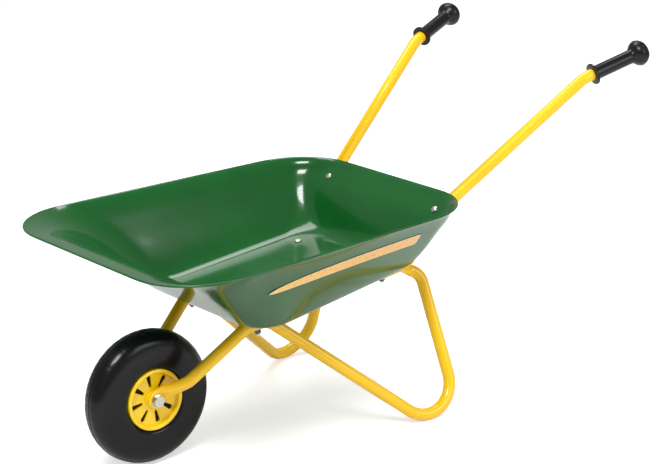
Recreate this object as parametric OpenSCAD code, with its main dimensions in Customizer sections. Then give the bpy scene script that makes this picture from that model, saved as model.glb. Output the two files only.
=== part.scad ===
// Child's pressed-steel toy wheelbarrow, about 0.8 m long, one node per separate piece.
// Millimetres, +Z up. +X runs from the wheel back to the grips, and the part is a mirror
// image about Y = 0. It rests at Z = 0 on the tyre and on the two leg loops.
// "left" is the pusher's left, which is -Y.

/* [Overall] */
// Length of the tray rim, nose to rear edge
tray_length = 492; // [410:1:592]
// Greatest width of the tray rim
tray_width = 408; // [340:1:490]
// Height of the rim above the ground at the nose
rim_height = 293; // [270:1:340]

/* [Tray] */
// Thickness of the pressed sheet
sheet = 1.2; // [0.8:0.1:2]
// Height of the floor above the ground at the front bolts
floor_height = 177.5; // [165:0.5:190]
// Rise of the floor toward the rear, degrees
floor_rise = 4.75; // [3:0.25:6]
// Fall of the rim toward the rear, degrees
rim_fall = 1.15; // [0:0.05:3]
// Outward and downward size of the hemmed rim edge
hem = 2.6; // [1.5:0.1:3]

/* [Tubes] */
// Outside diameter of every steel tube
tube_d = 16; // [13:0.5:19]
// Wall of the tube
tube_wall = 1.2; // [0.8:0.1:2]
// Thickness of a flattened tube end
flat_t = 4; // [2.5:0.5:5]
// Width of a flattened tube end
flat_w = 18; // [16:1:22]
// Width of the flattened axle eye
eye_w = 23; // [20:1:27]
// Slope of the handle tube, degrees above level
handle_slope = 34.7; // [28:0.1:42]
// Length of the straight handle tube above the rear wall
handle_run = 249; // [208:1:298]
// Distance of each foot from the centre plane
foot_spread = 157; // [130:1:185]

/* [Wheel] */
// Outside diameter of the tyre
wheel_d = 175; // [146:1:210]
// Width of the tyre
tyre_w = 44; // [36:1:53]
// Diameter of the yellow hub cap
cap_d = 80.4; // [67:0.2:90]
// Diameter of the axle bolt
axle_d = 8; // [6.5:0.1:10]
// Radial running clearance of the hub on the axle
axle_fit = 0.06; // [0.02:0.01:0.1]

/* [Grips] */
// Diameter of the straight part of the grip
grip_d = 19; // [18.5:0.5:23]
// Length of a grip over its end knob
grip_length = 85; // [70:1:105]
// Diameter of the grip's end knob
knob_d = 35; // [29:1:42]

/* [Fasteners] */
// Diameter of the six tray bolts
bolt_d = 5; // [4:0.1:6]
// Radial clearance of a tray bolt in its holes
bolt_fit = 0.3; // [0.1:0.1:0.6]

/* [Hidden] */
$fn = 96;

green = [0.10, 0.40, 0.16];
yellow = [0.96, 0.78, 0.10];
black = [0.06, 0.06, 0.07];
steel = [0.75, 0.76, 0.78];
amber = [0.90, 0.66, 0.22];

kx = tray_length / 492;
ky = tray_width / 408;
tube_r = tube_d / 2;
seat = 0.2;               // paint gap between a tube and the sheet it is bolted to
axle_z = wheel_d / 2;
bolt_r = bolt_d / 2;
hole_r = bolt_r + bolt_fit;

// ---- small vector helpers
function unit(v) = v / norm(v);
function mix(a, b, t) = a + (b - a) * t;
function flip(v, s) = [v[0], v[1] * s, v[2]];

// ---- tray surface, all before centring; X = 0 is the axle
nose_x = -75 * kx;
function floor_z(x) = floor_height + (x - 125 * kx) * tan(floor_rise);
function rim_z(x) = rim_height - (x - nose_x) * tan(rim_fall);

// one row per level: share of the depth, front X, rear X, half width at mid length,
// front corner radius, rear corner radius, outward and downward shift of the outer skin
levels = [
    [0.000, 108, 341, 112, 34, 34, 0.00, 1.00],
    [0.020, 98, 350, 120, 38, 38, 0.42, 0.91],
    [0.065, 89, 357, 128, 42, 36, 0.72, 0.69],
    [0.150, 79, 363, 136, 46, 33, 0.86, 0.51],
    [0.300, 63, 368.5, 146, 52, 28, 0.87, 0.49],
    [0.450, 46, 374.5, 155.2, 58, 30, 0.86, 0.51],
    [0.600, 28, 382, 164.4, 64, 36, 0.84, 0.54],
    [0.690, 15, 388, 170, 68, 40, 0.82, 0.57],
    [0.800, -3, 397.7, 176.7, 73, 48, 0.78, 0.63],
    [0.910, -29, 407.6, 184.5, 81, 72, 0.62, 0.78],
    [0.960, -48, 411.5, 189, 86, 78, 0.40, 0.92],
    [0.988, -64, 414.5, 192.8, 88, 84, 0.22, 0.98],
    [1.000, -73.5, 416, 195, 88, 86, 0.15, 0.99]
];
mid_x = 180 * kx;
taper = 0.0588 * ky / kx;

// rounded four-cornered ring at one level; "out" pushes it outward, "down" lowers it
corner_steps = 9;
side_steps = 8;
end_steps = 4;
function corner(p, a, b, r) =
    let (u = unit(a - p), v = unit(b - p), half = acos(u * v) / 2, t = r / tan(half),
         c = p + unit(u + v) * r / sin(half), p0 = p + u * t, p1 = p + v * t,
         a0 = atan2(p0[1] - c[1], p0[0] - c[0]), turn = 180 - 2 * half)
    [for (i = [0 : corner_steps]) c + r * [cos(a0 + turn * i / corner_steps),
                                          sin(a0 + turn * i / corner_steps)]];
function between(a, b, n) = n < 2 ? [] : [for (i = [1 : n - 1]) mix(a, b, i / n)];
function ring2(xf, xr, w, rf, rr, out) =
    let (wf = w - taper * (xf - mid_x) + out, wr = w - taper * (xr - mid_x) + out,
         a = [xf - out, -wf], b = [xr + out, -wr], c = [xr + out, wr], d = [xf - out, wf],
         ca = corner(a, d, b, rf + out), cb = corner(b, a, c, rr + out),
         cc = corner(c, b, d, rr + out), cd = corner(d, c, a, rf + out),
         n = corner_steps)
    concat(ca, between(ca[n], cb[0], side_steps), cb, between(cb[n], cc[0], end_steps),
           cc, between(cc[n], cd[0], side_steps), cd, between(cd[n], ca[0], end_steps));
function ring(L, out, down) =
    [for (p = ring2(L[1] * kx, L[2] * kx, L[3] * ky, L[4] * min(kx, ky), L[5] * min(kx, ky), out))
        [p[0], p[1], mix(floor_z(p[0]), rim_z(p[0]), L[0]) - down]];

top = levels[len(levels) - 1];
rings = concat(
    [for (L = levels) ring(L, 0, 0)],
    [ring(top, hem * 0.35, 0.25), ring(top, hem * 0.62, hem * 0.45),
     ring(top, hem * 0.62, hem * 0.8), ring(top, hem * 0.3, hem * 1.1)],
    [for (i = [len(levels) - 1 : -1 : 0])
        ring(levels[i], levels[i][6] * sheet * (i == len(levels) - 1 ? 0.2 : 1),
             levels[i][7] * sheet * (i == len(levels) - 1 ? 2 : 1))]
);
per = len(rings[0]);

module tray_skin() {
    points = [for (g = rings) for (p = g) p];
    n = len(rings);
    sides = [for (g = [0 : n - 2]) for (i = [0 : per - 1])
        let (j = (i + 1) % per, a = g * per + i, b = g * per + j, c = a + per, d = b + per)
        each [[a, b, d], [a, d, c]]];
    hub = n * per;
    first = (n - 1) * per;
    lid = [for (i = [0 : per - 1]) [(i + 1) % per, i, hub]];
    base = [for (i = [0 : per - 1]) [first + i, first + (i + 1) % per, hub + 1]];
    polyhedron(concat(points, [[mid_x, 0, floor_z(mid_x)], [mid_x, 0, floor_z(mid_x) - sheet]]),
               concat(lid, sides, base), convexity = 10);
}

// ---- bolt stations
front_bolt = [125.3 * kx, 72.3 * ky];
rear_bolt = [318 * kx, 88.5 * ky];
wall_bolt = [394.6 * kx, 111 * ky];
wall_share = 0.765;        // their share of the depth
wall_lean = 43.7;          // slope of the rear wall at its bolts
wall_point = [wall_bolt[0], -wall_bolt[1], mix(floor_z(wall_bolt[0]), rim_z(wall_bolt[0]), wall_share)];

// local Z = 0 on the top of the floor, +Z square to it and upward
module on_floor(at, s) {
    translate([at[0], s * at[1], floor_z(at[0])]) rotate([0, -floor_rise, 0]) children();
}
// local Z = 0 on the inside of the rear wall, +Z square to it and into the tray
module on_wall(s) {
    translate(flip(wall_point, -s)) rotate([0, -wall_lean, 0]) children();
}

// ---- tube building: straight pieces and true bends along a list of corners
module rod(a, b, r) {
    d = b - a;
    translate(a) rotate([0, acos(d[2] / norm(d)), atan2(d[1], d[0])])
        cylinder(h = norm(d), r = r);
}
function reach(P, i, R) =
    let (u = unit(P[i - 1] - P[i]), v = unit(P[i + 1] - P[i])) R / tan(acos(u * v) / 2);
function leave(P, R, i) = i == 0 ? P[0] : P[i] + unit(P[i + 1] - P[i]) * reach(P, i, R[i]);
function meet(P, R, i) =
    i == len(P) - 1 ? P[i] : P[i] + unit(P[i - 1] - P[i]) * reach(P, i, R[i]);
module elbow(P, i, R, r) {
    u = unit(P[i - 1] - P[i]);
    v = unit(P[i + 1] - P[i]);
    half = acos(u * v) / 2;
    c = P[i] + unit(u + v) * R / sin(half);
    p0 = P[i] + u * R / tan(half);
    ex = unit(p0 - c);
    ey = -u;
    ez = cross(ex, ey);
    multmatrix([[ex[0], ey[0], ez[0], c[0]], [ex[1], ey[1], ez[1], c[1]],
                [ex[2], ey[2], ez[2], c[2]], [0, 0, 0, 1]])
        rotate_extrude(angle = 180 - 2 * half) translate([R, 0]) circle(r = r);
}
// a shallow collar hides each joint between a straight piece and a bend
module bead(p, d, r) {
    translate(p) rotate([0, acos(d[2] / norm(d)), atan2(d[1], d[0])])
        translate([0, 0, -1]) cylinder(h = 2, r = r + 0.08);
}
module run(P, R, r) {
    for (i = [0 : len(P) - 2]) rod(leave(P, R, i), meet(P, R, i + 1), r);
    for (i = [1 : len(P) - 2]) {
        elbow(P, i, R[i], r);
        bead(meet(P, R, i), P[i] - P[i - 1], r);
        bead(leave(P, R, i), P[i + 1] - P[i], r);
    }
}
// round start of a swaged length, just inside the end bead of the round tube
module stub(p, q) { rod(p, p + unit(q - p) * 0.4, tube_r - 0.35, $fn = 32); }
// the same run shortened at both ends, for the bore
function inset(P, d) = [for (i = [0 : len(P) - 1])
    i == 0 ? P[0] + unit(P[1] - P[0]) * d :
    i == len(P) - 1 ? P[i] + unit(P[i - 1] - P[i]) * d : P[i]];

// ---- heights of the flattened ends under the rear bolts
stack_handle = sheet + seat + flat_t / 2;
stack_leg = stack_handle + flat_t + 0.1;

// ---- undercarriage tube: axle eye, fork, flat run under the tray, leg loop, rear eye
eye_in = 20;                                 // inner face of the axle eye from Y = 0
eye_y = eye_in + flat_t / 2;
flat_run_z = -sheet - seat - tube_r;         // tube centre below the floor
fork_top = [112.5 * kx, -70 * ky, floor_z(112.5 * kx) + flat_run_z];
leg_top = [141.8 * kx, -74.7 * ky, floor_z(141.8 * kx) + flat_run_z];
foot_corner = [378 * kx, -(foot_spread + 26) * ky, -49.7];
knee_corner = [378.6 * kx, -96.3 * ky, floor_z(378.6 * kx) - 23.6];
rear_run = [365.5 * kx, -89.5 * ky, floor_z(365.5 * kx) - 15.2];
crank = [34 * kx, -47 * ky, axle_z + 22];
swage_front = [19, -(eye_y + 11), axle_z + 13];

under = [swage_front, crank, fork_top, leg_top, foot_corner, knee_corner, rear_run];
under_R = [0, 26, 19, 24, 43, 22, 0];

module undercarriage(s) {
    fork_pitch = atan2(swage_front[2] - axle_z, swage_front[0]);
    mirror([0, s > 0 ? 1 : 0, 0]) difference() {
        union() {
            run(under, under_R, tube_r);
            bead(swage_front, crank - swage_front, tube_r);
            bead(rear_run, rear_run - knee_corner, tube_r);
            hull() {
                stub(swage_front, crank);
                translate([0, -eye_y, axle_z]) rotate([0, -fork_pitch, 0])
                    translate([9, -flat_t / 2, -eye_w / 2]) cube([1, flat_t, eye_w]);
            }
            translate([0, -eye_y, axle_z]) rotate([90, 0, 0]) translate([0, 0, -flat_t / 2])
                cylinder(h = flat_t, r = eye_w / 2);
            hull() {
                stub(rear_run, knee_corner);
                on_floor(rear_bolt, -1)
                    translate([27 * kx, -flat_w / 2 + 0.02, -stack_leg - flat_t / 2 + 0.02])
                    cube([1, flat_w - 0.04, flat_t - 0.04]);
            }
            on_floor(rear_bolt, -1) translate([0, 0, -stack_leg - flat_t / 2]) {
                cylinder(h = flat_t, r = flat_w / 2);
                translate([0, -flat_w / 2 + 0.03, 0.03])
                    cube([27.5 * kx, flat_w - 0.06, flat_t - 0.06]);
            }
        }
        run(inset(under, 3), under_R, tube_r - tube_wall);
        translate([0, 0, axle_z]) rotate([90, 0, 0])
            cylinder(h = 60, r = axle_d / 2 + 0.15);
        on_floor(rear_bolt, -1) translate([0, 0, -40]) cylinder(h = 40, r = hole_r);
        on_floor(front_bolt, -1) translate([0, 0, -40]) cylinder(h = 40, r = hole_r);
    }
}

// ---- handle tube: straight up from the rear wall to the bend at the grip; its lower end is
// pressed flat, bolted to the wall and wrapped round the tray's corner to the rear floor bolt
swage_top = wall_point + [18.4, -4.6, 4.4];
splay = 0.272 * ky / kx;
handle_dir = unit([1, -splay, tan(handle_slope)]);
grip_bend = swage_top + handle_dir * handle_run;
grip_dir = unit([0.9405, -0.2306, 0.2513]);
grip_start = grip_bend + grip_dir * 14;
upper = [swage_top, grip_bend, grip_start + grip_dir * (grip_length - 20)];
upper_R = [0, 45, 0];

function wall_xz(i) = let (x = levels[i][2] * kx) [x, mix(floor_z(x), rim_z(x), levels[i][0])];
strap_path = concat([[334 * kx, floor_z(334 * kx)]], [for (i = [0 : 8]) wall_xz(i)],
                    [mix(wall_xz(8), wall_xz(9), 0.3)]);
strap_n = len(strap_path) - 1;
function strap_facet(i) =
    let (k = max(0, min(i, strap_n - 1)), t = unit(strap_path[k + 1] - strap_path[k])) [t[1], -t[0]];
function strap_line(off) = [for (i = [0 : strap_n])
    let (a = strap_facet(i - 1), n = unit(a + strap_facet(i))) strap_path[i] + n * off / (n * a)];
strap_lean = 0.2;          // sideways run of the strap for each unit of its rise
function strap_y(z) = -wall_bolt[1] + (wall_point[2] - z) * strap_lean;
module strap() {
    inner = strap_line(sheet + seat);
    outer = strap_line(sheet + seat + flat_t);
    lo = floor_height;
    hi = rim_height - 10;
    intersection() {
        translate([0, -wall_bolt[1] + 60, 0]) rotate([90, 0, 0]) linear_extrude(height = 90)
            polygon(concat(inner, [for (i = [strap_n : -1 : 0]) outer[i]]));
        translate([300 * kx, 0, 0]) rotate([90, 0, 90]) linear_extrude(height = 150 * kx)
            polygon([[strap_y(lo) - flat_w / 2, lo], [strap_y(lo) + flat_w / 2, lo],
                     [strap_y(hi) + flat_w / 2, hi], [strap_y(hi) - flat_w / 2, hi]]);
    }
}
module strap_foot() {
    // flat plate on the underside of the floor, from the strap to the rear bolt
    w = flat_w / 2;
    v = strap_y(floor_z(338 * kx)) + rear_bolt[1];
    u = 338 * kx - rear_bolt[0];
    a = atan2(v, u);
    translate([0, 0, -stack_handle - flat_t / 2 + 0.01]) {
        cylinder(h = flat_t - 0.02, r = w);
        linear_extrude(height = flat_t - 0.02) polygon([
            [-sin(a) * w, cos(a) * w], [u, v + w - 0.3], [u, v - w + 0.3],
            [u * 0.6, v - w + 0.3], [sin(a) * w, -cos(a) * w]]);
    }
}

module handle_tube(s) {
    tip = (strap_line(sheet + seat)[strap_n] + strap_line(sheet + seat + flat_t)[strap_n]) / 2;
    mirror([0, s > 0 ? 1 : 0, 0]) difference() {
        union() {
            run(upper, upper_R, tube_r);
            bead(swage_top, handle_dir, tube_r);
            hull() {
                stub(swage_top, grip_bend);
                translate([tip[0], strap_y(tip[1]), tip[1]]) rotate([0, -wall_lean, 0])
                    translate([-1, -flat_w / 2 + 0.1, -flat_t / 2 + 0.05])
                    cube([0.8, flat_w - 0.2, flat_t - 0.1]);
            }
            strap();
            on_floor(rear_bolt, -1) strap_foot();
        }
        run([inset(upper, 2)[0], grip_bend, upper[2] + grip_dir], upper_R, tube_r - tube_wall);
        on_floor(rear_bolt, -1) translate([0, 0, -40]) cylinder(h = 60, r = hole_r);
        on_wall(-1) translate([0, 0, -30]) cylinder(h = 30, r = hole_r);
    }
}

// ---- grip: collar, straight sleeve, flared end knob with rings
knob_r = knob_d / 2;
sleeve_r = grip_d / 2;
grip_line = let (k = knob_r, g = sleeve_r, e = grip_length) [
    [0, 0], [g + 4.6, 0], [g + 5, 0.6], [g + 5, 2.6], [g + 4.6, 3.2], [g, 3.2],
    [g, e - 25], [g + 0.7, e - 21.5], [g + 2.4, e - 18.5], [k - 2.6, e - 16],
    [k - 0.8, e - 14], [k, e - 12], [k, e - 9.8], [k - 0.5, e - 9], [k - 1.7, e - 9],
    [k - 1.9, e - 8], [k - 1, e - 7.6], [k - 1.4, e - 5.8], [k - 3, e - 5.8],
    [k - 3.2, e - 4.8], [k - 2.6, e - 4.4], [k - 3.6, e - 2.6], [k - 5.2, e - 2.6],
    [k - 5.4, e - 1.8], [k - 5, e - 1.2], [k - 6.6, e - 0.2], [k - 9, e], [0, e]];
module grip(s) {
    d = grip_dir;
    mirror([0, s > 0 ? 1 : 0, 0]) translate(grip_start)
        rotate([0, acos(d[2]), atan2(d[1], d[0])]) difference() {
            rotate_extrude() polygon(grip_line);
            translate([0, 0, -1]) cylinder(h = grip_length - 20 + 2, r = tube_r + 0.04);
        }
}

// ---- wheel: hollow blow-moulded body with the tyre shape, and a cap on each side
cap_r = cap_d / 2;
cap_back = 12.5;           // outer face of the wheel body's core from Y = 0
cap_lip = tyre_w / 2;      // crown of the cap's lip from Y = 0
boss_y = eye_in - 1.2;     // the boss stops short of the washer
module wheel_body() {
    R = wheel_d / 2;
    w = tyre_w / 2;
    c = cap_r + 1.2;
    translate([0, 0, axle_z]) rotate([90, 0, 0]) rotate_extrude() difference() {
        polygon([
            [axle_d / 2 + 0.6, -cap_back], [c, -cap_back], [c, -w + 3], [c + 2, -w + 1.2],
            [c + 5, -w + 0.2], [c + 10, -w], [R - 26, -w], [R - 18, -w + 0.8],
            [R - 11, -w + 2.6], [R - 6.5, -w + 5.4], [R - 3.6, -w + 9], [R - 1.6, -w + 13],
            [R - 0.5, -w + 17.5], [R - 0.5, -1.2], [R, -0.7], [R, 0.7], [R - 0.5, 1.2],
            [R - 0.5, w - 17.5], [R - 1.6, w - 13], [R - 3.6, w - 9], [R - 6.5, w - 5.4],
            [R - 11, w - 2.6], [R - 18, w - 0.8], [R - 26, w], [c + 10, w],
            [c + 5, w - 0.2], [c + 2, w - 1.2], [c, w - 3], [c, cap_back],
            [axle_d / 2 + 0.6, cap_back]]);
        polygon([
            [0, -cap_back + 2.6], [c - 1, -cap_back + 2.6], [c + 4, -w + 3.2], [R - 26, -w + 2.8],
            [R - 13, -w + 5], [R - 6.4, -w + 10], [R - 3.4, -4], [R - 3.4, 4], [R - 6.4, w - 10],
            [R - 13, w - 5], [R - 26, w - 2.8], [c + 4, w - 3.2], [c - 1, cap_back - 2.6],
            [0, cap_back - 2.6]]);
    }
}
module hub_cap(s) {
    translate([0, 0, axle_z]) mirror([0, s > 0 ? 1 : 0, 0]) rotate([90, 0, 0]) difference() {
        rotate_extrude() polygon([
            [axle_d / 2 + axle_fit, cap_back], [cap_r, cap_back], [cap_r, cap_lip - 1.6],
            [cap_r - 0.6, cap_lip - 0.5], [cap_r - 1.8, cap_lip], [cap_r - 3.4, cap_lip],
            [cap_r - 4.6, cap_lip - 0.6], [cap_r - 5.4, cap_lip - 2], [cap_r - 6.4, cap_back + 2.8],
            [cap_r - 8, cap_back + 2.4], [13, cap_back + 2.4], [11, cap_back + 2.8],
            [10, boss_y], [axle_d / 2 + axle_fit, boss_y]]);
        for (i = [0 : 7]) rotate(8 + 45 * i) translate([0, 0, cap_back - 1]) {
            linear_extrude(height = 6) polygon([
                [18, -2], [cap_r - 10.5, -3.3], [cap_r - 10.5, 3.3], [18, 2]]);
            translate([18, 0, 0]) cylinder(h = 6, r = 2, $fn = 40);
            translate([cap_r - 10.5, 0, 0]) cylinder(h = 6, r = 3.3, $fn = 40);
        }
    }
}

// ---- axle bolt, nut and washers
washer_t = 1.1;
washer_r = axle_d / 2 + 4.5;
eye_out = eye_in + flat_t;
head_h = 5.3;
af_axle = 13 * axle_d / 8;
module hex(af, h) { cylinder(h = h, r = af / 2 / cos(30), $fn = 6); }
module axle_bolt() {
    translate([0, 0, axle_z]) rotate([90, 0, 0]) {
        translate([0, 0, eye_out + washer_t]) hex(af_axle, head_h);
        translate([0, 0, -eye_out - washer_t - 10]) cylinder(h = 2 * eye_out + 2 * washer_t + 10,
                                                            r = axle_d / 2);
    }
}
module axle_nut() {
    translate([0, 0, axle_z]) rotate([-90, 0, 0]) translate([0, 0, eye_out + washer_t])
        difference() {
            union() {
                hex(af_axle, 6.2);
                cylinder(h = 7.8, r = af_axle / 2 - 0.6);
            }
            translate([0, 0, -1]) cylinder(h = 12, r = axle_d / 2);
        }
}
module axle_washers() {
    for (s = [-1, 1]) translate([0, 0, axle_z]) rotate([s * 90, 0, 0]) {
        translate([0, 0, eye_out]) ring_washer();
        translate([0, 0, eye_in - washer_t + 0.1]) ring_washer(washer_t - 0.1);
    }
}
module ring_washer(t = washer_t) {
    difference() {
        cylinder(h = t, r = washer_r);
        translate([0, 0, -1]) cylinder(h = t + 2, r = axle_d / 2 + 0.15);
    }
}

// ---- tray fasteners: pan-head bolts from inside the tray, locknuts underneath
pan_r = bolt_d * 0.95;
pan_h = bolt_d * 0.5;
nut_h = bolt_d * 0.95;
module tray_bolt(grip_, tail = 2.4) {
    // local Z = 0 on the sheet, shank running down
    rotate_extrude() polygon([
        [0, -grip_ - nut_h - tail], [bolt_r - 0.5, -grip_ - nut_h - tail],
        [bolt_r, -grip_ - nut_h - tail + 0.5], [bolt_r, 0], [pan_r, 0], [pan_r, pan_h * 0.35],
        [pan_r * 0.9, pan_h * 0.7], [pan_r * 0.66, pan_h * 0.93], [pan_r * 0.35, pan_h],
        [0, pan_h]]);
}
module tray_nut(grip_) {
    translate([0, 0, -grip_ - nut_h]) difference() {
        union() {
            translate([0, 0, nut_h * 0.3]) hex(bolt_d * 1.6, nut_h * 0.7);
            cylinder(h = nut_h * 0.5, r = bolt_d * 0.66);
        }
        translate([0, 0, -1]) cylinder(h = nut_h + 2, r = bolt_r);
    }
}
front_grip = sheet + seat + tube_d + 0.02;
wall_grip = sheet + seat + flat_t + 0.06;
rear_grip = stack_leg + flat_t / 2;

// ---- side decals, a thin tapered strip laid on the outer skin of each side wall
decal_t = 0.35;
function skin_y(x, h) = (mix(146, 179.2, (h - 0.3) / 0.54) * ky - taper * (x - mid_x)) + 0.86 * sheet;
function skin_z(x, h) = mix(floor_z(x), rim_z(x), h) - 0.52 * sheet;
decal_x0 = 75 * kx;
decal_x1 = 326 * kx;
decal_n = 24;
function decal_low(t) = 0.6 - 0.042 * pow(t, 3) + 0.018 * pow(1 - t, 12);
function decal_high(t) = 0.624 + 0.17 * pow(t, 0.34) - 0.055 * t * t;
module side_decal(s) {
    pts = [for (i = [0 : decal_n]) let (t = i / decal_n)
        each [for (q = [[0.12, 0], [0.12, 1], [0.12 + decal_t, 1], [0.12 + decal_t, 0]])
            let (x = mix(decal_x0, decal_x1, t) + (i == decal_n && q[1] == 0 ? -2.5 : 0),
                 h = q[1] == 0 ? decal_low(t) : decal_high(t))
            [x, -(skin_y(x, h) + q[0] * 0.86), skin_z(x, h) - q[0] * 0.5]]];
    faces = concat(
        [for (i = [0 : decal_n - 1]) for (k = [0 : 3])
            let (a = i * 4 + k, b = i * 4 + (k + 1) % 4, c = a + 4, d = b + 4)
            each [[a, b, d], [a, d, c]]],
        [[3, 2, 1, 0]], [[decal_n * 4, decal_n * 4 + 1, decal_n * 4 + 2, decal_n * 4 + 3]]);
    mirror([0, s > 0 ? 1 : 0, 0]) polyhedron(pts, faces, convexity = 6);
}

// ---- centring: the origin is on the ground under the middle of the whole part
knob_tilt = sqrt(1 - grip_dir[0] * grip_dir[0]);
x_max = grip_start[0] + max([for (q = grip_line) grip_dir[0] * q[1] + knob_tilt * q[0]]);
x_min = -max(wheel_d / 2, -nose_x);
module place() { translate([-(x_max + x_min) / 2, 0, 0]) children(); }

module tray() {
    color(green) place() difference() {
        tray_skin();
        for (s = [-1, 1]) {
            on_floor(front_bolt, s) translate([0, 0, -10]) cylinder(h = 20, r = hole_r);
            on_floor(rear_bolt, s) translate([0, 0, -10]) cylinder(h = 20, r = hole_r);
            on_wall(s) translate([0, 0, -10]) cylinder(h = 20, r = hole_r);
        }
    }
}

tray();
color(yellow) place() undercarriage(-1);  // undercarriage_tube_left
color(yellow) place() undercarriage(1);  // undercarriage_tube_right
color(yellow) place() handle_tube(-1);  // handle_tube_left
color(yellow) place() handle_tube(1);  // handle_tube_right
color(black) place() grip(-1);  // grip_left
color(black) place() grip(1);  // grip_right
color(black) place() wheel_body();
color(yellow) place() hub_cap(-1);  // hub_cap_left
color(yellow) place() hub_cap(1);  // hub_cap_right
color(steel) place() axle_bolt();
color(steel) place() axle_nut();
color(steel) place() axle_washers();
color(steel) place()  // wall_bolts
    for (s = [-1, 1]) on_wall(s) tray_bolt(wall_grip, 17);
color(steel) place()  // wall_nuts
    for (s = [-1, 1]) on_wall(s) tray_nut(wall_grip);
color(steel) place()  // floor_front_bolts
    for (s = [-1, 1]) on_floor(front_bolt, s) tray_bolt(front_grip);
color(steel) place()  // floor_front_nuts
    for (s = [-1, 1]) on_floor(front_bolt, s) tray_nut(front_grip);
color(steel) place()  // floor_rear_bolts
    for (s = [-1, 1]) on_floor(rear_bolt, s) tray_bolt(rear_grip);
color(steel) place()  // floor_rear_nuts
    for (s = [-1, 1]) on_floor(rear_bolt, s) tray_nut(rear_grip);
color(amber) place() side_decal(-1);  // side_decal_left
color(amber) place() side_decal(1);  // side_decal_right
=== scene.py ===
"""Looks for the toy wheelbarrow: smooth pressed tray, bent tubes, grips, wheel and finishes."""

import logging
import math
from dataclasses import dataclass, field
from enum import Enum

import bmesh
import bpy
from mathutils import Matrix, Quaternion, Vector

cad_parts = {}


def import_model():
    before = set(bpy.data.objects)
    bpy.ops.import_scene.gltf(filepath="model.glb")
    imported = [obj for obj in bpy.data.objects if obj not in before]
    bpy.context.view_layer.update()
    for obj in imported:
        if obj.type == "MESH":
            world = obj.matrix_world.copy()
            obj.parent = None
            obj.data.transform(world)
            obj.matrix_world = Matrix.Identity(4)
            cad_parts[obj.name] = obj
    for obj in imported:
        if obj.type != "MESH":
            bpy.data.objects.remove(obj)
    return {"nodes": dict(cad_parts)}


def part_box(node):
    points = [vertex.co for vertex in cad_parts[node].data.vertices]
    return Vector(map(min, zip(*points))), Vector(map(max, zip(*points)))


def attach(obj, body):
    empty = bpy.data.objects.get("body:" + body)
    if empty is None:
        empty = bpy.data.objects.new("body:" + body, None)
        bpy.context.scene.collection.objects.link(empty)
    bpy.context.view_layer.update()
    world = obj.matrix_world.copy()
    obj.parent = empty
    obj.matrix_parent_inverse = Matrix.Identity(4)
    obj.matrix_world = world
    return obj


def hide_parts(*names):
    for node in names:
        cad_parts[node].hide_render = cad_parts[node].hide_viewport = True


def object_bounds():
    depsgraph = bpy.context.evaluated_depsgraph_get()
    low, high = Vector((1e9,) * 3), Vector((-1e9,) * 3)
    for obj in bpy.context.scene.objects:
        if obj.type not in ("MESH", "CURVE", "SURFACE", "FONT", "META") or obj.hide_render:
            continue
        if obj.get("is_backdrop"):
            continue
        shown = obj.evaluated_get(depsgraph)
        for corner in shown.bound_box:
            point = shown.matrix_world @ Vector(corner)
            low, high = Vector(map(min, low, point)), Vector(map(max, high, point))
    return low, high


logging.basicConfig(level=logging.INFO, format="%(message)s")
LOG = logging.getLogger("scene")

MM = 0.001
SHEET = 1.2
SEAT = 0.2
HEM = 2.6
TUBE_R = 8.0
FLAT_T = 4.0
FLAT_W = 18.0
EYE_W = 23.0
WHEEL_R = 87.5
TYRE_HALF = 22.0
CAP_R = 40.2
MID_X = 180.0
TAPER = 0.0588
RIM_HEIGHT = 293.0
NOSE_X = -75.0
FLOOR_HEIGHT = 177.5
FRONT_BOLT_X = 125.0
FLOOR_RISE = math.radians(4.75)
RIM_FALL = math.radians(1.15)
STRIPE_START = 76.0
STRIPE_END = 326.0
STRIPE_RAKE = 2.5
STRIPE_SCALE = 105.0
# Distance from the mid-plane of the black disc that closes the hub behind the cap slots:
# painted shade for the dark hollow between the cap halves.
SHADE_DISC_Z = 12.5
HUB_BORE_R = 4.7
NICK_DEPTH = 0.32
NICK_EVERY = 6


class Side(Enum):
    """Which side of the centre plane a piece is on, as the sign of its Y."""

    LEFT = -1
    RIGHT = 1

    @property
    def label(self) -> str:
        """Lower-case name used in piece names."""
        return self.name.lower()


# ---------------------------------------------------------------- shader helpers


@dataclass
class Sock:
    """A shader socket that can be used in arithmetic."""

    bench: "Bench"
    socket: bpy.types.NodeSocket

    def _math(self, operation: str, *values) -> "Sock":
        node = self.bench.make(
            "ShaderNodeMath", {"operation": operation}, dict(enumerate(values))
        )
        return self.bench.out(node)

    def __add__(self, other):
        return self._math("ADD", self, other)

    def __radd__(self, other):
        return self._math("ADD", other, self)

    def __sub__(self, other):
        return self._math("SUBTRACT", self, other)

    def __rsub__(self, other):
        return self._math("SUBTRACT", other, self)

    def __mul__(self, other):
        return self._math("MULTIPLY", self, other)

    def __rmul__(self, other):
        return self._math("MULTIPLY", other, self)

    def __truediv__(self, other):
        return self._math("DIVIDE", self, other)

    def __rtruediv__(self, other):
        return self._math("DIVIDE", other, self)

    def span(self, low: float, high: float, to_low=0.0, to_high=1.0) -> "Sock":
        """Maps low..high smoothly and clamped onto to_low..to_high."""
        node = self.bench.make(
            "ShaderNodeMapRange",
            {"interpolation_type": "SMOOTHSTEP"},
            {0: self, 1: low, 2: high, 3: to_low, 4: to_high},
        )
        return self.bench.out(node)


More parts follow.
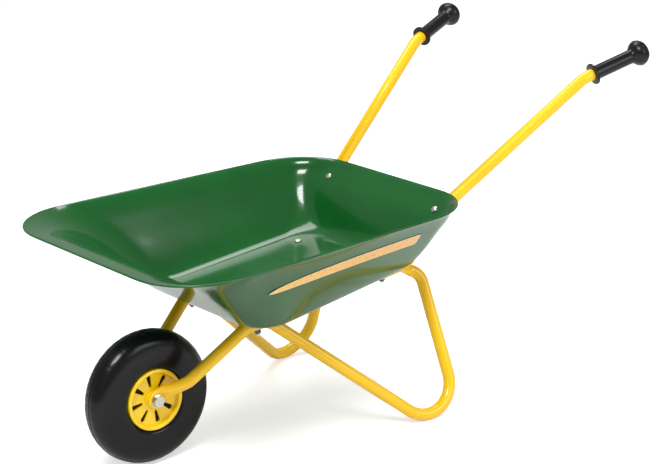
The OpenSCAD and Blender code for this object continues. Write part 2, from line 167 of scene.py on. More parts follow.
class Bench:
    """Makes the nodes of one material or of the surroundings."""

    def __init__(self, owner):
        """Clears the nodes of a material or a world, ready for new ones."""
        owner.use_nodes = True
        self.owner = owner
        self.tree = owner.node_tree
        self.tree.nodes.clear()

    @classmethod
    def named(cls, name: str) -> "Bench":
        """Returns the bench of a new material."""
        return cls(bpy.data.materials.new(name))

    def make(self, kind: str, settings: dict, values: dict):
        """Makes one node.

        Args:
            kind: the node's type name.
            settings: attributes, set before any socket.
            values: socket name or index to a constant or a Sock.

        Returns:
            The new node.
        """
        node = self.tree.nodes.new(kind)
        for key, value in settings.items():
            setattr(node, key, value)
        for key, value in values.items():
            target = node.inputs[key]
            if isinstance(value, Sock):
                self.tree.links.new(value.socket, target)
            else:
                target.default_value = value
        return node

    def out(self, node, name=0) -> Sock:
        """Returns one output of a node as a Sock."""
        return Sock(self, node.outputs[name])

    def noise(self, scale: float, detail=3.0, rough=0.5, stretch=(1, 1, 1)) -> Sock:
        """Returns noise in object space, in the range 0 to 1."""
        place = self.make("ShaderNodeTexCoord", {}, {})
        sized = self.make(
            "ShaderNodeVectorMath",
            {"operation": "MULTIPLY"},
            {0: self.out(place, "Object"), 1: stretch},
        )
        node = self.make(
            "ShaderNodeTexNoise",
            {},
            {"Vector": self.out(sized), "Scale": scale, "Detail": detail, "Roughness": rough},
        )
        return self.out(node, "Fac")

    def mix(self, factor, first, second) -> Sock:
        """Mixes two colours."""
        node = self.make(
            "ShaderNodeMix",
            {"data_type": "RGBA", "clamp_factor": True},
            {0: factor, 6: first, 7: second},
        )
        return self.out(node, 2)

    def attribute(self, name: str) -> Sock:
        """Returns a mesh attribute as a float."""
        node = self.make("ShaderNodeAttribute", {"attribute_name": name}, {})
        return self.out(node, "Fac")

    def bump(self, height, distance: float, strength=1.0) -> Sock:
        """Returns a normal bent by height, whose full range is distance metres."""
        node = self.make(
            "ShaderNodeBump", {}, {"Height": height, "Distance": distance, "Strength": strength}
        )
        return self.out(node)

    def surface(self, **values):
        """Ends the material in one principled surface and returns the material."""
        body = self.make("ShaderNodeBsdfPrincipled", {}, {})
        for key, value in values.items():
            target = body.inputs[key.replace("_", " ")]
            if isinstance(value, Sock):
                self.tree.links.new(value.socket, target)
            else:
                target.default_value = value
        self.make("ShaderNodeOutputMaterial", {}, {"Surface": self.out(body)})
        return self.owner


def rgb(red: float, green: float, blue: float) -> tuple:
    """Turns display values, 0 to 255, into a linear colour with alpha."""

    def linear(value: float) -> float:
        share = value / 255
        return share / 12.92 if share <= 0.04045 else ((share + 0.055) / 1.055) ** 2.4

    return (linear(red), linear(green), linear(blue), 1.0)


@dataclass(frozen=True)
class GlossPaint:
    """Baked enamel on steel: a clear gloss over colour, with faint orange peel and dust."""

    name: str
    slot: str
    colour: tuple
    deep: tuple
    rough: float = 0.16

    def make(self):
        """Returns the material."""
        bench = Bench.named(self.name)
        cloud = bench.noise(9, 3)
        peel = bench.noise(420, 2)
        dust = bench.noise(1500, 2).span(0.66, 0.74)
        colour = bench.mix(cloud.span(0.3, 0.75), self.deep, self.colour)
        colour = bench.mix(dust * 0.06, colour, rgb(225, 225, 215))
        return bench.surface(
            Base_Color=colour,
            Roughness=self.rough + bench.noise(60, 4) * 0.07 + dust * 0.12,
            Specular_IOR_Level=0.3,
            Coat_Weight=0.45,
            Coat_Roughness=0.045,
            Normal=bench.bump(peel + cloud * 0.6, 0.00002, 0.5),
        )


@dataclass(frozen=True)
class Moulded:
    """Moulded plastic, vinyl or rubber with a fine grain and scuffs."""

    name: str
    slot: str
    colour: tuple
    scuff: tuple
    rough: float
    grain: float = 700.0
    grain_depth: float = 0.00003
    coat: float = 0.0
    shine: float = 0.5

    def make(self):
        """Returns the material."""
        bench = Bench.named(self.name)
        cloud = bench.noise(14, 4)
        grain = bench.noise(self.grain, 3)
        marks = bench.noise(55, 6, 0.7, (1, 5, 1)).span(0.6, 0.72)
        colour = bench.mix(marks * 0.35 + cloud * 0.15, self.colour, self.scuff)
        return bench.surface(
            Base_Color=colour,
            Roughness=self.rough + cloud * 0.08 + marks * 0.1,
            Specular_IOR_Level=self.shine,
            Coat_Weight=self.coat,
            Coat_Roughness=0.12,
            Normal=bench.bump(grain, self.grain_depth, 0.6),
        )


@dataclass(frozen=True)
class ZincPlate:
    """Bright zinc plate with turning marks and slight dulling."""

    name: str
    slot: str
    low: tuple = rgb(196, 198, 200)
    high: tuple = rgb(222, 221, 214)

    def make(self):
        """Returns the material."""
        bench = Bench.named(self.name)
        cloud = bench.noise(90, 4)
        brush = bench.noise(1400, 3, 0.6, (1, 6, 1))
        return bench.surface(
            Base_Color=bench.mix(cloud, self.low, self.high),
            Metallic=1.0,
            Roughness=0.17 + cloud * 0.16,
            Normal=bench.bump(brush, 0.00002, 0.5),
        )


@dataclass(frozen=True)
class StripeFilm:
    """Printed stripe: an orange-yellow field, lighter to the front, inside a dark outline."""

    name: str
    slot: str

    def make(self):
        """Returns the material."""
        bench = Bench.named(self.name)
        rim = bench.attribute("rim")
        along = bench.attribute("along")
        amber = bench.mix(along.span(0.0, 1.0), rgb(240, 190, 92), rgb(226, 158, 52))
        amber = bench.mix(bench.noise(40, 3) * 0.25, amber, rgb(236, 178, 84))
        outline = 1.0 - rim.span(0.9, 1.15)
        pale = rim.span(0.9, 1.15) * (1.0 - rim.span(1.9, 2.2))
        colour = bench.mix(pale * 0.55, amber, rgb(247, 226, 160))
        colour = bench.mix(outline, colour, rgb(24, 44, 28))
        return bench.surface(
            Base_Color=colour,
            Roughness=0.24 + bench.noise(160, 3) * 0.08,
            Coat_Weight=0.6,
            Coat_Roughness=0.06,
            Normal=bench.bump(bench.noise(500, 2), 0.00002, 0.4),
        )


GREEN = GlossPaint("green_enamel", "green_paint", rgb(6, 88, 30), rgb(3, 78, 24))
YELLOW = GlossPaint("yellow_enamel", "yellow_paint", rgb(252, 202, 24), rgb(246, 192, 16), 0.22)
CAP = Moulded(
    "yellow_cap_plastic", "yellow_plastic", rgb(246, 206, 10), rgb(226, 186, 20), 0.24, coat=0.5
)
TYRE = Moulded(
    "black_tyre_plastic", "black_tyre", rgb(9, 9, 12), rgb(30, 30, 34),
    rough=0.22, grain=500.0, grain_depth=0.00003, coat=0.12, shine=0.22,
)
GRIP = Moulded(
    "black_grip_vinyl", "black_grip", rgb(9, 9, 11), rgb(28, 28, 32),
    rough=0.3, grain=900.0, grain_depth=0.00004, coat=0.1, shine=0.3,
)
ZINC = ZincPlate("bright_zinc", "zinc")
DARK_ZINC = ZincPlate("dark_zinc", "zinc", rgb(70, 72, 76), rgb(98, 98, 98))
STRIPE = StripeFilm("stripe_film", "decal")


# ---------------------------------------------------------------- mesh helpers


@dataclass
class Shop:
    """Turns millimetre meshes, with X = 0 at the axle, into pieces of the frame."""

    axle_x: float
    finishes: dict = field(default_factory=dict)

    def material(self, finish):
        """Returns the finish's material, made once."""
        if finish.name not in self.finishes:
            self.finishes[finish.name] = finish.make()
        return self.finishes[finish.name]

    def piece(self, name: str, bm, finish, body: str, nodes: list, smooth_levels=0, bevel=0.0):
        """Makes one visible piece from a bmesh and rides it on a body.

        Args:
            name: the piece's name.
            bm: its mesh in millimetres, freed here.
            finish: one of the finish dataclasses.
            body: the CAD body it rides on.
            nodes: the CAD nodes it stands for.
            smooth_levels: subdivision levels.
            bevel: width of a bevel on sharp edges, in millimetres.

        Returns:
            The new object.
        """
        bmesh.ops.remove_doubles(bm, verts=bm.verts, dist=1e-4)
        bmesh.ops.recalc_face_normals(bm, faces=bm.faces)
        bmesh.ops.scale(bm, vec=(MM, MM, MM), verts=bm.verts)
        bmesh.ops.translate(bm, vec=(self.axle_x, 0, 0), verts=bm.verts)
        mesh = bpy.data.meshes.new(name)
        bm.to_mesh(mesh)
        bm.free()
        mesh.shade_smooth()
        obj = bpy.data.objects.new(name, mesh)
        bpy.context.scene.collection.objects.link(obj)
        obj.data.materials.append(self.material(finish))
        if bevel:
            edge = obj.modifiers.new("edges", "BEVEL")
            edge.width = bevel * MM
            edge.segments = 3
            edge.limit_method = "ANGLE"
            edge.angle_limit = math.radians(28)
        if smooth_levels:
            soft = obj.modifiers.new("smooth", "SUBSURF")
            soft.levels = soft.render_levels = smooth_levels
        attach(obj, body)
        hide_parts(*nodes)
        LOG.info("%s: %d faces", name, len(mesh.polygons))
        return obj

    def repaint(self, node, finish):
        """Gives a CAD node this finish."""
        node.data.materials.clear()
        node.data.materials.append(self.material(finish))


def loft(bm, rings: list, close_ends=True) -> list:
    """Joins rings of points, each closed, into one skin.

    Args:
        bm: the mesh to add to.
        rings: lists of equally many points each.
        close_ends: caps the first and last ring.

    Returns:
        The rings' vertices.
    """
    rows = [[bm.verts.new(p) for p in ring] for ring in rings]
    count = len(rows[0])
    for a, b in zip(rows, rows[1:]):
        for i in range(count):
            j = (i + 1) % count
            bm.faces.new((a[i], a[j], b[j], b[i]))
    if close_ends:
        bm.faces.new(list(reversed(rows[0])))
        bm.faces.new(rows[-1])
    return rows


def revolve(bm, profile: list, steps: int, place, ripple=None):
    """Turns an (r, z) outline a full turn about the local Z axis.

    Args:
        bm: the mesh to add to.
        profile: outline points; r = 0 ends become poles.
        steps: pieces in a turn.
        place: Matrix from the local frame to the part.
        ripple: optional function (r, z, step) giving a new r.
    """
    rows = []
    for i in range(steps):
        turn = 2 * math.pi * i / steps
        row = []
        for r, z in profile:
            q = ripple(r, z, i) if ripple else r
            point = place @ Vector((q * math.cos(turn), q * math.sin(turn), z))
            row.append(bm.verts.new(point))
        rows.append(row)
    for i in range(steps):
        a, b = rows[i], rows[(i + 1) % steps]
        for k in range(len(profile) - 1):
            corners = [a[k], b[k], b[k + 1], a[k + 1]]
            if profile[k][0] == 0:
                corners = [a[k], b[k + 1], a[k + 1]]
            if profile[k + 1][0] == 0:
                corners = [a[k], b[k], a[k + 1]]
            bm.faces.new(corners)
        if profile[0][0] and profile[-1][0]:
            bm.faces.new([a[-1], b[-1], b[0], a[0]])


def to_side(point: Vector, side: Side) -> Vector:
    """Returns a left-hand point moved to the asked side."""
    return Vector((point.x, -point.y * side.value, point.z))


def put_on(bm, side: Side):
    """Mirrors a left-hand mesh where the right side is asked for."""
    bmesh.ops.scale(bm, vec=(1, -side.value, 1), verts=bm.verts)


ROUND_START = Vector((0, 1, 0.3))


@dataclass
class Station:
    """One cross-section of a pressed tube: a stadium of half width a and half height b."""

    point: Vector
    a: float = TUBE_R
    b: float = TUBE_R
    across: Vector | None = None


def bends(corners: list, radii: list, step=5.0) -> list:
    """Returns the corner points' path with each corner rounded to its radius."""
    path = [Vector(corners[0])]
    for i in range(1, len(corners) - 1):
        p = Vector(corners[i])
        u = (Vector(corners[i - 1]) - p).normalized()
        v = (Vector(corners[i + 1]) - p).normalized()
        half = math.acos(max(-1, min(1, u.dot(v)))) / 2
        c = p + (u + v).normalized() * (radii[i] / math.sin(half))
        ex = (p + u * (radii[i] / math.tan(half)) - c).normalized()
        turn = math.pi - 2 * half
        pieces = max(3, math.ceil(math.degrees(turn) / step))
        for k in range(pieces + 1):
            angle = turn * k / pieces
            path.append(c + radii[i] * (ex * math.cos(angle) - u * math.sin(angle)))
    path.append(Vector(corners[-1]))
    return path


def press(bm, stations: list, around=40):
    """Sweeps the stations into one closed tube whose flats face where they are asked to.

    Args:
        bm: the mesh to add to.
        stations: cross-sections in order; at least one sets across, its width direction.
        around: points in a ring.
    """
    count = len(stations)
    tangents = []
    for i in range(count):
        before, after = stations[max(i - 1, 0)].point, stations[min(i + 1, count - 1)].point
        tangents.append((after - before).normalized())

    def square(vector: Vector, tangent: Vector) -> Vector:
        """Returns the unit part of vector that is square to tangent."""
        return (vector - tangent * vector.dot(tangent)).normalized()

    across = [square(stations[0].across or ROUND_START, tangents[0])]
    for i in range(1, count):
        across.append(square(across[-1], tangents[i]))
    fixed = [i for i, s in enumerate(stations) if s.across is not None]
    extra = {}
    for i in fixed:
        goal = square(stations[i].across, tangents[i])
        angle = math.atan2(tangents[i].dot(across[i].cross(goal)), across[i].dot(goal))
        if angle > math.pi / 2:
            angle -= math.pi
        if angle < -math.pi / 2:
            angle += math.pi
        extra[i] = angle
    reach = [0.0]
    for i in range(1, count):
        reach.append(reach[-1] + (stations[i].point - stations[i - 1].point).length)

    def twist(i: int) -> float:
        """Returns the turn at station i, spread evenly between the fixed ones."""
        if i in extra:
            return extra[i]
        below = [k for k in fixed if k < i]
        above = [k for k in fixed if k > i]
        if not below or not above:
            return extra[(above or below)[0 if above else -1]]
        lo, hi = below[-1], above[0]
        share = (reach[i] - reach[lo]) / max(reach[hi] - reach[lo], 1e-9)
        return extra[lo] + (extra[hi] - extra[lo]) * share

    rings = []
    for i, s in enumerate(stations):
        wide = Quaternion(tangents[i], twist(i)) @ across[i]
        high = tangents[i].cross(wide)
        ring = []
        for k in range(around):
            angle = 2 * math.pi * (k + 0.5) / around
            cos, sin = math.cos(angle), math.sin(angle)
            shift = math.copysign(max(s.a - s.b, 0), cos)
            ring.append(s.point + wide * (shift + min(s.a, s.b) * cos) + high * (s.b * sin))
        rings.append(ring)
    loft(bm, rings)


# ---------------------------------------------------------------- tray


@dataclass(frozen=True)
class Level:
    """One level of the tray: share of depth, ends, half width, corner radii and skin shift."""

    share: float
    front: float
    rear: float
    half: float
    front_r: float
    rear_r: float
    out: float
    down: float


LEVELS = [
    Level(0.000, 108, 341, 112, 34, 34, 0.00, 1.00),
    Level(0.020, 98, 350, 120, 38, 38, 0.42, 0.91),
    Level(0.065, 89, 357, 128, 42, 36, 0.72, 0.69),
    Level(0.150, 79, 363, 136, 46, 33, 0.86, 0.51),
    Level(0.300, 63, 368.5, 146, 52, 28, 0.87, 0.49),
    Level(0.450, 46, 374.5, 155.2, 58, 30, 0.86, 0.51),
    Level(0.600, 28, 382, 164.4, 64, 36, 0.84, 0.54),
    Level(0.690, 15, 388, 170, 68, 40, 0.82, 0.57),
    Level(0.800, -3, 397.7, 176.7, 73, 48, 0.78, 0.63),
    Level(0.910, -29, 407.6, 184.5, 81, 72, 0.62, 0.78),
    Level(0.960, -48, 411.5, 189, 86, 78, 0.40, 0.92),
    Level(0.988, -64, 414.5, 192.8, 88, 84, 0.22, 0.98),
    Level(1.000, -73.5, 416, 195, 88, 86, 0.15, 0.99),
]


def floor_z(x: float) -> float:
    """Height of the tray's floor."""
    return FLOOR_HEIGHT + (x - FRONT_BOLT_X) * math.tan(FLOOR_RISE)


def rim_z(x: float) -> float:
    """Height of the tray's rim."""
    return RIM_HEIGHT - (x - NOSE_X) * math.tan(RIM_FALL)


def mix(a, b, t):
    """Returns the point t of the way from a to b."""
    return a + (b - a) * t


@dataclass
class Tray:
    """The pressed tray: inner and outer skins round a hemmed rim."""

    shop: Shop
    corner_steps: int = 12
    side_steps: int = 10
    end_steps: int = 5
    hem_line: tuple = (
        (0.2, 0.02), (0.45, 0.14), (0.6, 0.4), (0.63, 0.7), (0.5, 0.98), (0.3, 1.1), (0.16, 1.0)
    )

    def ring(self, level: Level, out: float, down: float) -> list:
        """Returns one level's closed outline, pushed outward and down."""
        front, rear = level.front - out, level.rear + out
        wf = level.half - TAPER * (level.front - MID_X) + out
        wr = level.half - TAPER * (level.rear - MID_X) + out
        ends = ((front, -wf), (rear, -wr), (rear, wr), (front, wf))
        corners = [Vector(p) for p in ends]
        radii = [r + out for r in (level.front_r, level.rear_r, level.rear_r, level.front_r)]
        arcs = []
        for i, p in enumerate(corners):
            u = (corners[i - 1] - p).normalized()
            v = (corners[(i + 1) % 4] - p).normalized()
            half = math.acos(u.dot(v)) / 2
            c = p + (u + v).normalized() * (radii[i] / math.sin(half))
            start = p + u * (radii[i] / math.tan(half)) - c
            a0, turn = math.atan2(start.y, start.x), math.pi - 2 * half
            angles = [a0 + turn * k / self.corner_steps for k in range(self.corner_steps + 1)]
            arcs.append([c + radii[i] * Vector((math.cos(a), math.sin(a))) for a in angles])
        flat = []
        for i, arc in enumerate(arcs):
            flat += arc
            steps = self.side_steps if i % 2 == 0 else self.end_steps
            flat += [mix(arc[-1], arcs[(i + 1) % 4][0], k / steps) for k in range(1, steps)]
        return [
            Vector((p.x, p.y, mix(floor_z(p.x), rim_z(p.x), level.share) - down)) for p in flat
        ]

    def build(self):
        """Makes the tray."""
        top = LEVELS[-1]
        rings = [self.ring(level, 0, 0) for level in LEVELS]
        rings += [self.ring(top, HEM * out, HEM * down) for out, down in self.hem_line]
        rings += [
            self.ring(level, level.out * SHEET, level.down * SHEET)
            for level in reversed(LEVELS[:-1])
        ]
        bm = bmesh.new()
        rows = loft(bm, rings, close_ends=False)
        per = len(rings[0])
        for rim, height in ((rows[0], 0.0), (rows[-1], -SHEET)):
            for share in (0.93, 0.5):
                inner = []
                for v in rim:
                    x = mix(MID_X + 45, v.co.x, share)
                    inner.append(bm.verts.new((x, v.co.y * share, floor_z(x) + height)))
                for i in range(per):
                    j = (i + 1) % per
                    bm.faces.new((rim[i], rim[j], inner[j], inner[i]))
                rim = inner
            bm.faces.new(rim)
        return self.shop.piece("tray_pressing", bm, GREEN, "frame", ["tray"], smooth_levels=2)


def skin_point(x: float, share: float, proud: float) -> Vector:
    """Returns a point on the left outer skin of the tray's side, stood proud of it."""
    k = max(i for i, level in enumerate(LEVELS[:-1]) if level.share <= share)
    a, b = LEVELS[k], LEVELS[k + 1]
    t = (share - a.share) / (b.share - a.share)
    front, half = mix(a.front, b.front, t), mix(a.half, b.half, t)
    r = mix(a.front_r, b.front_r, t)
    out = 0.86 * (SHEET + proud)
    cx = front + r
    y = half - TAPER * (x - MID_X)
    if x < cx:
        y = half - TAPER * (cx - MID_X) - r + math.sqrt(max(r * r - (cx - x) ** 2, 0))
        y += TAPER * (cx - x) * 0.5
    return Vector((x, -(y + out), mix(floor_z(x), rim_z(x), share) - 0.52 * (SHEET + proud)))


@dataclass
class Stripes:
    """The printed stripe on each side of the tray."""

    shop: Shop
    columns: int = 60
    rows: int = 12

    def shape(self, t: float) -> tuple:
        """Returns the stripe's low and high edges, as shares of the tray's depth."""
        low = 0.6 - 0.042 * t**3 + 0.018 * (1 - t) ** 12
        high = 0.624 + 0.17 * t**0.34 - 0.055 * t * t
        return low, high

    def build(self, side: Side):
        """Makes one side's stripe."""
        bm = bmesh.new()
        rim_layer = bm.verts.layers.float.new("rim")
        along_layer = bm.verts.layers.float.new("along")
        sheets = []
        for proud in (0.16, 0.42):
            grid = []
            for i in range(self.columns + 1):
                t = (i / self.columns) ** 1.6
                low, high = self.shape(t)
                column = []
                for j in range(self.rows + 1):
                    v = 0.5 - 0.5 * math.cos(math.pi * j / self.rows)
                    share = mix(low, high, v)
                    end = STRIPE_END - STRIPE_RAKE * (1 - v)
                    x = mix(STRIPE_START, end, t)
                    vert = bm.verts.new(to_side(skin_point(x, share, proud), side))
                    tall = (high - low) * STRIPE_SCALE
                    vert[rim_layer] = min(v * tall, (1 - v) * tall, end - x + 0.001)
                    vert[along_layer] = t
                    column.append(vert)
                grid.append(column)
            sheets.append(grid)
        under, over = sheets
        for i in range(self.columns):
            for j in range(self.rows):
                for grid in (over, under):
                    near, far = grid[i], grid[i + 1]
                    bm.faces.new((near[j], far[j], far[j + 1], near[j + 1]))
        edge = [(i, 0) for i in range(self.columns + 1)]
        edge += [(self.columns, j) for j in range(1, self.rows + 1)]
        edge += [(i, self.rows) for i in range(self.columns - 1, -1, -1)]
        edge += [(0, j) for j in range(self.rows - 1, 0, -1)]
        for (a, b), (c, d) in zip(edge, edge[1:] + edge[:1]):
            bm.faces.new((over[a][b], under[a][b], under[c][d], over[c][d]))
        name = f"side_decal_{side.label}"
        return self.shop.piece(f"stripe_{side.label}", bm, STRIPE, "frame", [name])


# ---------------------------------------------------------------- tubes and grips


WALL_BOLT_X = 394.6
WALL_BOLT_Y = -111.0
WALL_SHARE = 0.765
STRAP_START_X = 338.0
STRAP_LEAN = 0.2
TUBE_DROP = SHEET + SEAT + TUBE_R
AXLE_EYE_Y = -22.0
WALL_POINT = Vector(
    (WALL_BOLT_X, WALL_BOLT_Y, mix(floor_z(WALL_BOLT_X), rim_z(WALL_BOLT_X), WALL_SHARE))
)
SWAGE_TOP = WALL_POINT + Vector((18.4, -4.6, 4.4))
HANDLE_DIR = Vector((1, -0.272, math.tan(math.radians(34.7)))).normalized()
GRIP_BEND = SWAGE_TOP + HANDLE_DIR * 249
GRIP_DIR = Vector((0.9405, -0.2306, 0.2513)).normalized()
GRIP_START = GRIP_BEND + GRIP_DIR * 14
GRIP_LENGTH = 85.0
STACK_HANDLE = SHEET + SEAT + FLAT_T / 2
STACK_LEG = STACK_HANDLE + FLAT_T + 0.1
REAR_BOLT = (318.0, -88.5)
Y_AXIS = Vector((0, 1, 0))
TIP_STEPS = (0, -3, -6, -7.8, -8.6, -8.9)


def under_floor(x: float, y: float, depth: float) -> Vector:
    """Returns a point square below the tray's floor by depth."""
    return Vector((
        x + depth * math.sin(FLOOR_RISE), y, floor_z(x) - depth * math.cos(FLOOR_RISE)
    ))


def flatten(start: Vector, end: Vector) -> list:
    """Returns the stations that press a round tube flat between two points."""
    return [
        Station(
            mix(start, end, share),
            mix(TUBE_R, FLAT_W / 2, share),
            mix(TUBE_R, FLAT_T / 2, share**0.9),
            Y_AXIS,
        )
        for share in (0.3, 0.6, 0.85)
    ]


def flat_tip(place, lead: tuple) -> list:
    """Returns the stations of a flat end with a half-round tip round a bolt.

    Args:
        place: function from a distance short of the bolt to a point.
        lead: distances of the stations before the bolt.
    """
    half = FLAT_W / 2
    stations = []
    for u in (*lead, *TIP_STEPS):
        wide = math.sqrt(max(half * half - u * u, 0.3)) if u < 0 else half
        stations.append(Station(place(u), wide, min(FLAT_T / 2, wide), Y_AXIS))
    return stations


@dataclass
class TubeFrame:
    """The four bent steel tubes with their pressed ends."""

    shop: Shop

    def undercarriage(self, side: Side):
        """Makes one leg tube, from its axle eye to the flat under the rear bolt."""
        centre = Vector((0, AXLE_EYE_Y, WHEEL_R))
        swage = Vector((19, -33, WHEEL_R + 13))
        pitch = math.atan2(13, 19)
        away = Vector((math.cos(pitch), 0, math.sin(pitch)))
        up = Vector((-math.sin(pitch), 0, math.cos(pitch)))
        eye = EYE_W / 2
        stations = []
        for u in (-11.3, -10.9, -10.2, -9, -7, -4, 0, 4, 8):
            wide = math.sqrt(max(eye * eye - u * u, 0.2)) if u < 0 else eye
            stations.append(Station(centre + away * u, wide, min(FLAT_T / 2, wide), up))
        for share in (0.3, 0.55, 0.8):
            point = mix(centre + away * 9.5, swage, share) + Vector((0, 0.8 * share, 0))
            wide, high = mix(eye, TUBE_R, share), mix(FLAT_T / 2, TUBE_R, share**0.8)
            stations.append(Station(point, wide, high, up))
        path = [
            swage,
            Vector((34, -47, WHEEL_R + 22)),
            Vector((112.5, -70, floor_z(112.5) - TUBE_DROP)),
            Vector((141.8, -74.7, floor_z(141.8) - TUBE_DROP)),
            Vector((378, -183, -49.7)),
            Vector((378.6, -96.3, floor_z(378.6) - 23.6)),
            Vector((365.5, -89.5, floor_z(365.5) - 15.2)),
        ]
        stations += [Station(p) for p in bends(path, [0, 26, 19, 24, 43, 22, 0])]

        def plate(u: float) -> Vector:
            """Returns the flat end's middle, u short of the rear bolt."""
            return under_floor(REAR_BOLT[0] + u, REAR_BOLT[1], STACK_LEG)

        stations += flatten(path[-1], plate(27.5))
        stations += flat_tip(plate, (27, 18, 8))
        self._finish(stations, side, "leg_tube", "undercarriage_tube")

    def handle(self, side: Side):
        """Makes one handle tube, from inside the grip to the flat under the rear bolt."""
        end = GRIP_START + GRIP_DIR * (GRIP_LENGTH - 20)
        stations = [Station(p) for p in bends([end, GRIP_BEND, SWAGE_TOP], [0, 45, 0], 3)]

        def wall(i: int) -> Vector:
            """Returns the rear wall's middle point at one level."""
            x = LEVELS[i].rear
            return Vector((x, 0, mix(floor_z(x), rim_z(x), LEVELS[i].share)))

        def strap_y(z: float) -> float:
            """Returns the sideways place of the pressed strap at height z."""
            return WALL_BOLT_Y + (WALL_POINT.z - z) * STRAP_LEAN

        profile = [Vector((STRAP_START_X, 0, floor_z(STRAP_START_X)))]
        profile += [wall(i) for i in range(1, 9)] + [mix(wall(8), wall(9), 0.3)]
        strap = []
        for i, p in enumerate(profile):
            ahead, behind = profile[min(i + 1, 9)], profile[max(i - 1, 0)]
            t = (ahead - behind).normalized()
            q = p + Vector((t.z, 0, -t.x)) * STACK_HANDLE
            strap.append(Vector((q.x, strap_y(q.z), q.z)))
        strap.reverse()
        stations += flatten(SWAGE_TOP, strap[0])
        stations += [Station(p, FLAT_W / 2, FLAT_T / 2, Y_AXIS) for p in strap]
        bolt = under_floor(REAR_BOLT[0], REAR_BOLT[1], STACK_HANDLE)
        heading = (bolt - strap[-1]).normalized()
        stations += flat_tip(lambda u: bolt - heading * u, (10, 4))
        self._finish(stations, side, "handle_steel", "handle_tube")

    def _finish(self, stations: list, side: Side, name: str, node: str):
        """Presses the stations into one tube, on the asked side."""
        bm = bmesh.new()
        press(bm, stations)
        put_on(bm, side)
        node_name = f"{node}_{side.label}"
        self.shop.piece(f"{name}_{side.label}", bm, YELLOW, "frame", [node_name])


@dataclass
class Grips:
    """The moulded grips: collar, straight sleeve and ringed end knob."""

    shop: Shop
    sleeve: float = 9.5
    knob: float = 17.5

    def outline(self) -> list:
        """Returns the grip's outline as (radius, distance from the collar)."""
        g, k, e = self.sleeve, self.knob, GRIP_LENGTH
        line = [
            (0, 0), (g + 4.4, 0), (g + 5, 0.6), (g + 5, 2.6), (g + 4.4, 3.2), (g + 0.7, 3.2),
            (g, 4), (g, e - 27), (g + 0.15, e - 25),
        ]
        line += [(mix(g, k - 0.8, (1 - math.cos(math.pi * t / 9)) / 2), e - 25 + 11.5 * t / 9)
                 for t in range(1, 9)]
        line += [(k, e - 12), (k, e - 9.8), (k - 0.5, e - 9), (k - 1.8, e - 8.9)]
        line += [(k - 1.9, e - 8), (k - 0.9, e - 7.8), (k - 1.3, e - 5.9), (k - 2.9, e - 5.7)]
        line += [(k - 3.1, e - 4.9), (k - 2.5, e - 4.6), (k - 3.5, e - 2.8), (k - 5.1, e - 2.5)]
        line += [(k - 5.3, e - 1.9), (k - 4.9, e - 1.4), (k - 6.6, e - 0.3), (k - 9, e), (0, e)]
        return line

    def build(self, side: Side):
        """Makes one grip."""
        bm = bmesh.new()
        turn = GRIP_DIR.to_track_quat("Z", "Y").to_matrix().to_4x4()
        revolve(bm, self.outline(), 72, Matrix.Translation(GRIP_START) @ turn)
        put_on(bm, side)
        node = f"grip_{side.label}"
        self.shop.piece(f"vinyl_grip_{side.label}", bm, GRIP, "frame", [node], bevel=0.25)


# ---------------------------------------------------------------- wheel


@dataclass
class Wheel:
    """The blow-moulded tyre with tread nicks, which sits round the slotted caps."""

    shop: Shop
    steps: int = 240

    def tyre(self):
        """Makes the tyre, with a black disc across the hub behind the cap slots as painted
        shade.
        """
        r, w, c = WHEEL_R, TYRE_HALF, CAP_R + 1.2
        half = [
            (r, 0.7), (r - 0.5, 1.3), (r - 0.5, 2.4), (r - 0.5, w - 17.5), (r - 0.9, w - 15),
            (r - 1.6, w - 13), (r - 3.6, w - 9), (r - 6.5, w - 5.4), (r - 11, w - 2.6),
            (r - 18, w - 0.8), (r - 26, w), (c + 10, w), (c + 5, w - 0.2), (c + 2, w - 1.2),
            # The last two points close the hub with a black disc behind the cap slots: painted
            # shade standing in for the dark hollow between the cap halves.
            (c, w - 3), (c, w - 6), (c, SHADE_DISC_Z), (HUB_BORE_R, SHADE_DISC_Z),
        ]
        outline = [(q, -z) for q, z in reversed(half)] + half

        def nick(radius: float, z: float, step: int) -> float:
            """Returns the radius, lowered at every tread nick outside the seam."""
            if radius < r - 4.5 or abs(z) < 2 or step % NICK_EVERY:
                return radius
            return radius - NICK_DEPTH

        bm = bmesh.new()
        place = Matrix.Translation((0, 0, r)) @ Matrix.Rotation(math.pi / 2, 4, "X")
        revolve(bm, outline, self.steps, place, nick)
        self.shop.piece("tyre", bm, TYRE, "wheel", ["wheel_body"])


# ---------------------------------------------------------------- studio


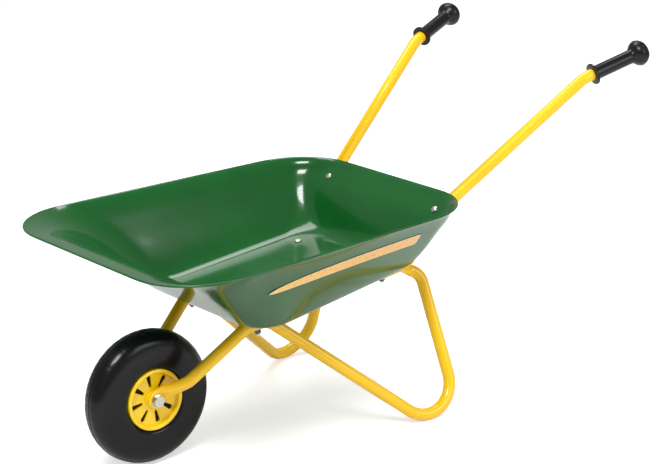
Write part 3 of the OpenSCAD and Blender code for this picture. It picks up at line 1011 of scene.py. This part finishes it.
@dataclass
class Studio:
    """Pale sweep, soft lights and the camera."""

    target: Vector

    def floor(self, height: float):
        """Makes the pale ground at this height, marked as not part of the object."""
        bm = bmesh.new()
        bmesh.ops.create_grid(bm, x_segments=2, y_segments=2, size=30)
        mesh = bpy.data.meshes.new("ground")
        bm.to_mesh(mesh)
        bm.free()
        ground = bpy.data.objects.new("ground", mesh)
        ground.location.z = height
        bpy.context.scene.collection.objects.link(ground)
        bench = Bench.named("pale_ground")
        tone = bench.noise(2, 2).span(0.2, 0.8)
        seen = bench.out(bench.make("ShaderNodeLightPath", {}, {}), "Is Camera Ray")
        mesh.materials.append(
            bench.surface(
                Base_Color=bench.mix(tone, (0.9, 0.9, 0.9, 1), (0.92, 0.92, 0.92, 1)),
                Roughness=0.7,
                Emission_Color=bench.mix(seen, (0, 0, 0, 1), (1, 1, 1, 1)),
                Emission_Strength=0.5,
            )
        )
        ground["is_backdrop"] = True

    def lamp(self, name: str, place: tuple, size: tuple, power: float):
        """Adds one soft rectangular light aimed at the object."""
        data = bpy.data.lights.new(name, "AREA")
        data.shape = "RECTANGLE"
        data.size, data.size_y = size
        data.energy = power
        obj = bpy.data.objects.new(name, data)
        obj.location = place
        obj.rotation_mode = "QUATERNION"
        obj.rotation_quaternion = (self.target - Vector(place)).to_track_quat("-Z", "Y")
        bpy.context.scene.collection.objects.link(obj)

    def light(self):
        """Sets the surroundings and the soft boxes."""
        bench = Bench(bpy.data.worlds.new("surroundings"))
        seen = bench.out(bench.make("ShaderNodeLightPath", {}, {}), "Is Camera Ray")
        tone = bench.make("ShaderNodeMix", {"data_type": "FLOAT"}, {0: seen, 2: 0.36, 3: 1.0})
        back = bench.make(
            "ShaderNodeBackground", {}, {"Color": (1, 1, 1, 1), "Strength": bench.out(tone)}
        )
        bench.make("ShaderNodeOutputWorld", {}, {"Surface": bench.out(back)})
        scene = bpy.context.scene
        scene.world = bench.owner
        self.lamp("key", (-1.3, -1.0, 2.3), (1.0, 0.7), 52)
        self.lamp("fill", (0.9, -2.2, 1.2), (1.2, 1.2), 17)
        self.lamp("top", (0.2, 0.9, 2.4), (2.0, 0.9), 36)
        scene.view_settings.view_transform = "Standard"
        scene.view_settings.exposure = 0.0

    def camera(self):
        """Sets the camera's place, aim and lens."""
        data = bpy.data.cameras.new("camera")
        data.sensor_width = 36
        data.lens = 112.06
        data.clip_start, data.clip_end = 0.05, 60
        right = Vector((0.77939, -0.62442, -0.05141))
        up = Vector((0.23487, 0.21512, 0.94792))
        back = right.cross(up)
        obj = bpy.data.objects.new("camera", data)
        turn = Matrix((right, up, back)).transposed().to_4x4()
        obj.matrix_world = Matrix.Translation((-1.6074, -2.0827, 1.0993)) @ turn
        bpy.context.scene.collection.objects.link(obj)
        bpy.context.scene.camera = obj


FASTENERS = (
    "axle_bolt", "axle_nut", "axle_washers", "wall_bolts", "wall_nuts", "floor_front_bolts",
    "floor_front_nuts", "floor_rear_bolts", "floor_rear_nuts",
)

LOCKNUTS = ("wall_nuts", "floor_front_nuts", "floor_rear_nuts")


def corners(box) -> list:
    """Returns a box's two corners as plain lists."""
    return [list(point) for point in box]


def main():
    """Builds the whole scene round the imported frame."""
    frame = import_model()
    cad_box = corners(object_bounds())
    low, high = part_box("wheel_body")
    shop = Shop((low.x + high.x) / 2)
    Tray(shop).build()
    stripes, tubes, grips = Stripes(shop), TubeFrame(shop), Grips(shop)
    for side in Side:
        stripes.build(side)
        tubes.undercarriage(side)
        tubes.handle(side)
        grips.build(side)
    Wheel(shop).tyre()
    nodes = frame["nodes"]
    for name in FASTENERS:
        shop.repaint(nodes[name], DARK_ZINC if name in LOCKNUTS else ZINC)
    for side in Side:
        shop.repaint(nodes[f"hub_cap_{side.label}"], CAP)
    studio = Studio(Vector((0, 0, 0.2)))
    studio.floor(cad_box[0][2])
    studio.light()
    studio.camera()


if __name__ == "__main__":
    main()
